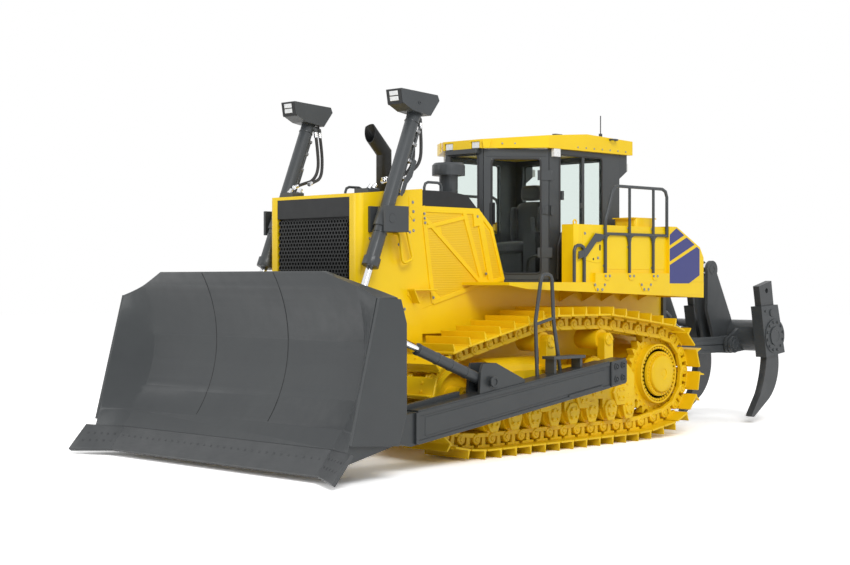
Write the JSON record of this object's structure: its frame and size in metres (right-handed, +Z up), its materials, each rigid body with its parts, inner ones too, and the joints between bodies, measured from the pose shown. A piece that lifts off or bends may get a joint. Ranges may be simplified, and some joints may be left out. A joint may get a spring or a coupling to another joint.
{
  "type": "crawler bulldozer with blade and ripper",
  "caption": "Tracked earth mover with a wide hollow blade on push arms, tall lift cylinders, a six-sided glazed cab with doors, and a rear ripper on a parallel linkage.",
  "frame": {"origin": "on the ground under the middle of the machine's outline", "axes": "+X forward towards the blade, +Y to the machine's left, +Z up"},
  "size_m": [8.626, 4.06, 3.685],
  "materials": {
    "yellow_paint": "gloss",
    "dark_paint": "satin",
    "black_mesh": "matte",
    "blade_paint": "satin",
    "wear_steel": "satin",
    "chrome_rod": "polished",
    "glass": "polished",
    "seat_fabric": "matte",
    "trim_plastic": "matte",
    "lamp_lens": "gloss",
    "blue_paint": "gloss",
    "hose_rubber": "satin"
  },
  "bodies": {
    "chassis": {"main_frame": "yellow_paint", "cross_shafts": "dark_paint", "engine_block": "dark_paint", "radiator_guard": "yellow_paint", "radiator_grille": "black_mesh", "hood_top": "dark_paint", "hood_sides": "yellow_paint", "exhaust_pipe": "dark_paint", "air_precleaner": "dark_paint", "fenders": "yellow_paint", "side_boxes": "yellow_paint", "rear_boxes": "yellow_paint", "handrails": "dark_paint", "cab_floor": "trim_plastic", "cab_front_wall": "dark_paint", "cab_side_walls": "dark_paint", "cab_rear_wall": "dark_paint", "cab_windows": "glass", "cab_roof": "yellow_paint", "roof_lamps": "lamp_lens", "operator_seat": "seat_fabric", "cab_console": "trim_plastic", "antenna": "trim_plastic", "track_left": "yellow_paint", "track_right": "yellow_paint", "track_frames": "yellow_paint", "idlers": "yellow_paint", "sprockets": "yellow_paint", "final_drives": "yellow_paint", "bogies": "yellow_paint", "track_rollers": "yellow_paint", "lift_yokes": "dark_paint", "ripper_support": "dark_paint"},
    "push_frame": {"push_arms": "blade_paint", "arm_ladder": "dark_paint"},
    "blade": {"moldboard": "blade_paint", "blade_end_plates": "blade_paint", "cutting_edge": "wear_steel", "end_bits": "wear_steel"},
    "lift_barrel_pair": {"lift_barrels": "dark_paint", "lift_lamps": "dark_paint", "lift_hose_left_front": "hose_rubber", "lift_hose_left_rear": "hose_rubber", "lift_hose_right_front": "hose_rubber", "lift_hose_right_rear": "hose_rubber"},
    "lift_rod_pair": {"lift_rods": "chrome_rod"},
    "brace_barrel_pair": {"brace_barrels": "dark_paint"},
    "brace_rod_pair": {"brace_rods": "chrome_rod"},
    "ripper_arm_body": {"ripper_arm": "dark_paint"},
    "ripper_pin_pair": {"ripper_pins": "dark_paint"},
    "ripper_beam_body": {"ripper_beam": "dark_paint", "ripper_shanks": "wear_steel"},
    "ripper_tilt_barrel_pair": {"ripper_tilt_barrels": "dark_paint"},
    "ripper_tilt_rod_pair": {"ripper_tilt_rods": "chrome_rod"},
    "ripper_lift_barrel_pair": {"ripper_lift_barrels": "dark_paint"},
    "ripper_lift_rod_pair": {"ripper_lift_rods": "chrome_rod"},
    "left_door": {"door_left": "dark_paint", "door_glass_left": "glass"},
    "right_door": {"door_right": "dark_paint", "door_glass_right": "glass"}
  },
  "joints": [
    {"name": "blade_lift", "type": "hinge", "parent": "chassis", "child": "push_frame", "pos_m": [-0.13, 0, 0.82], "axis": [0, -1, 0], "range_deg": [-8.7, 17]},
    {"name": "blade_pitch", "type": "hinge", "parent": "push_frame", "child": "blade", "pos_m": [3.236, 0, 0.41], "axis": [0, 1, 0], "range_deg": [-5, 5]},
    {"name": "lift_barrel_swing", "type": "hinge", "parent": "chassis", "child": "lift_barrel_pair", "pos_m": [2.53, 0, 2.395], "axis": [0, -1, 0], "range_deg": [-7.5, 14.5]},
    {"name": "lift_rod_slide", "type": "slide", "parent": "lift_barrel_pair", "child": "lift_rod_pair", "axis": [0.3683, 0, -0.9297], "range_m": [-0.95, 0.5]},
    {"name": "brace_barrel_swing", "type": "hinge", "parent": "push_frame", "child": "brace_barrel_pair", "pos_m": [1.87, 0, 0.797], "axis": [0, 1, 0], "range_deg": [-1.5, 1.5]},
    {"name": "brace_rod_slide", "type": "slide", "parent": "brace_barrel_pair", "child": "brace_rod_pair", "axis": [0.9373, 0, 0.3484], "range_m": [-0.08, 0.08]},
    {"name": "ripper_lift", "type": "hinge", "parent": "chassis", "child": "ripper_arm_body", "pos_m": [-2.54, 0, 0.975], "axis": [0, 1, 0], "range_deg": [-28, 20]},
    {"name": "ripper_pin_turn", "type": "hinge", "parent": "ripper_arm_body", "child": "ripper_pin_pair", "pos_m": [-3.72, 0, 0.975], "axis": [0, 1, 0], "range_deg": [-22, 30]},
    {"name": "ripper_tilt", "type": "hinge", "parent": "ripper_pin_pair", "child": "ripper_beam_body", "pos_m": [-3.72, 0, 0.975], "axis": [0, 1, 0], "range_deg": [-12, 12]},
    {"name": "ripper_tilt_barrel_swing", "type": "hinge", "parent": "chassis", "child": "ripper_tilt_barrel_pair", "pos_m": [-2.36, 0, 1.93], "axis": [0, 1, 0], "range_deg": [-30, 22]},
    {"name": "ripper_tilt_rod_slide", "type": "slide", "parent": "ripper_tilt_barrel_pair", "child": "ripper_tilt_rod_pair", "axis": [-1, 0, 0], "range_m": [-0.21, 0.21]},
    {"name": "ripper_lift_barrel_swing", "type": "hinge", "parent": "chassis", "child": "ripper_lift_barrel_pair", "pos_m": [-2.47, 0, 1.62], "axis": [0, 1, 0], "range_deg": [-17.5, 13]},
    {"name": "ripper_lift_rod_slide", "type": "slide", "parent": "ripper_lift_barrel_pair", "child": "ripper_lift_rod_pair", "axis": [-0.8634, 0, -0.5045], "range_m": [-0.19, 0.26]},
    {"name": "door_left_swing", "type": "hinge", "parent": "chassis", "child": "left_door", "pos_m": [-0.017, 0.8143, 0], "axis": [0, 0, 1], "range_deg": [0, 90]},
    {"name": "door_right_swing", "type": "hinge", "parent": "chassis", "child": "right_door", "pos_m": [-0.017, -0.8143, 0], "axis": [0, 0, -1], "range_deg": [0, 90]}
  ],
  "couplings": [
    {"joint": "lift_barrel_swing", "follows": "blade_lift", "ratio": 0.7813},
    {"joint": "lift_rod_slide", "follows": "blade_lift", "m_per_rad": -3.0731},
    {"joint": "brace_barrel_swing", "follows": "blade_pitch", "ratio": 0.2415},
    {"joint": "brace_rod_slide", "follows": "blade_pitch", "m_per_rad": 0.8384},
    {"joint": "ripper_pin_turn", "follows": "ripper_lift", "ratio": -1},
    {"joint": "ripper_tilt_barrel_swing", "follows": "ripper_lift", "ratio": 1},
    {"joint": "ripper_tilt_rod_slide", "follows": "ripper_tilt", "m_per_rad": -0.9486},
    {"joint": "ripper_lift_barrel_swing", "follows": "ripper_lift", "ratio": 0.5878},
    {"joint": "ripper_lift_rod_slide", "follows": "ripper_lift", "m_per_rad": -0.4962}
  ]
}
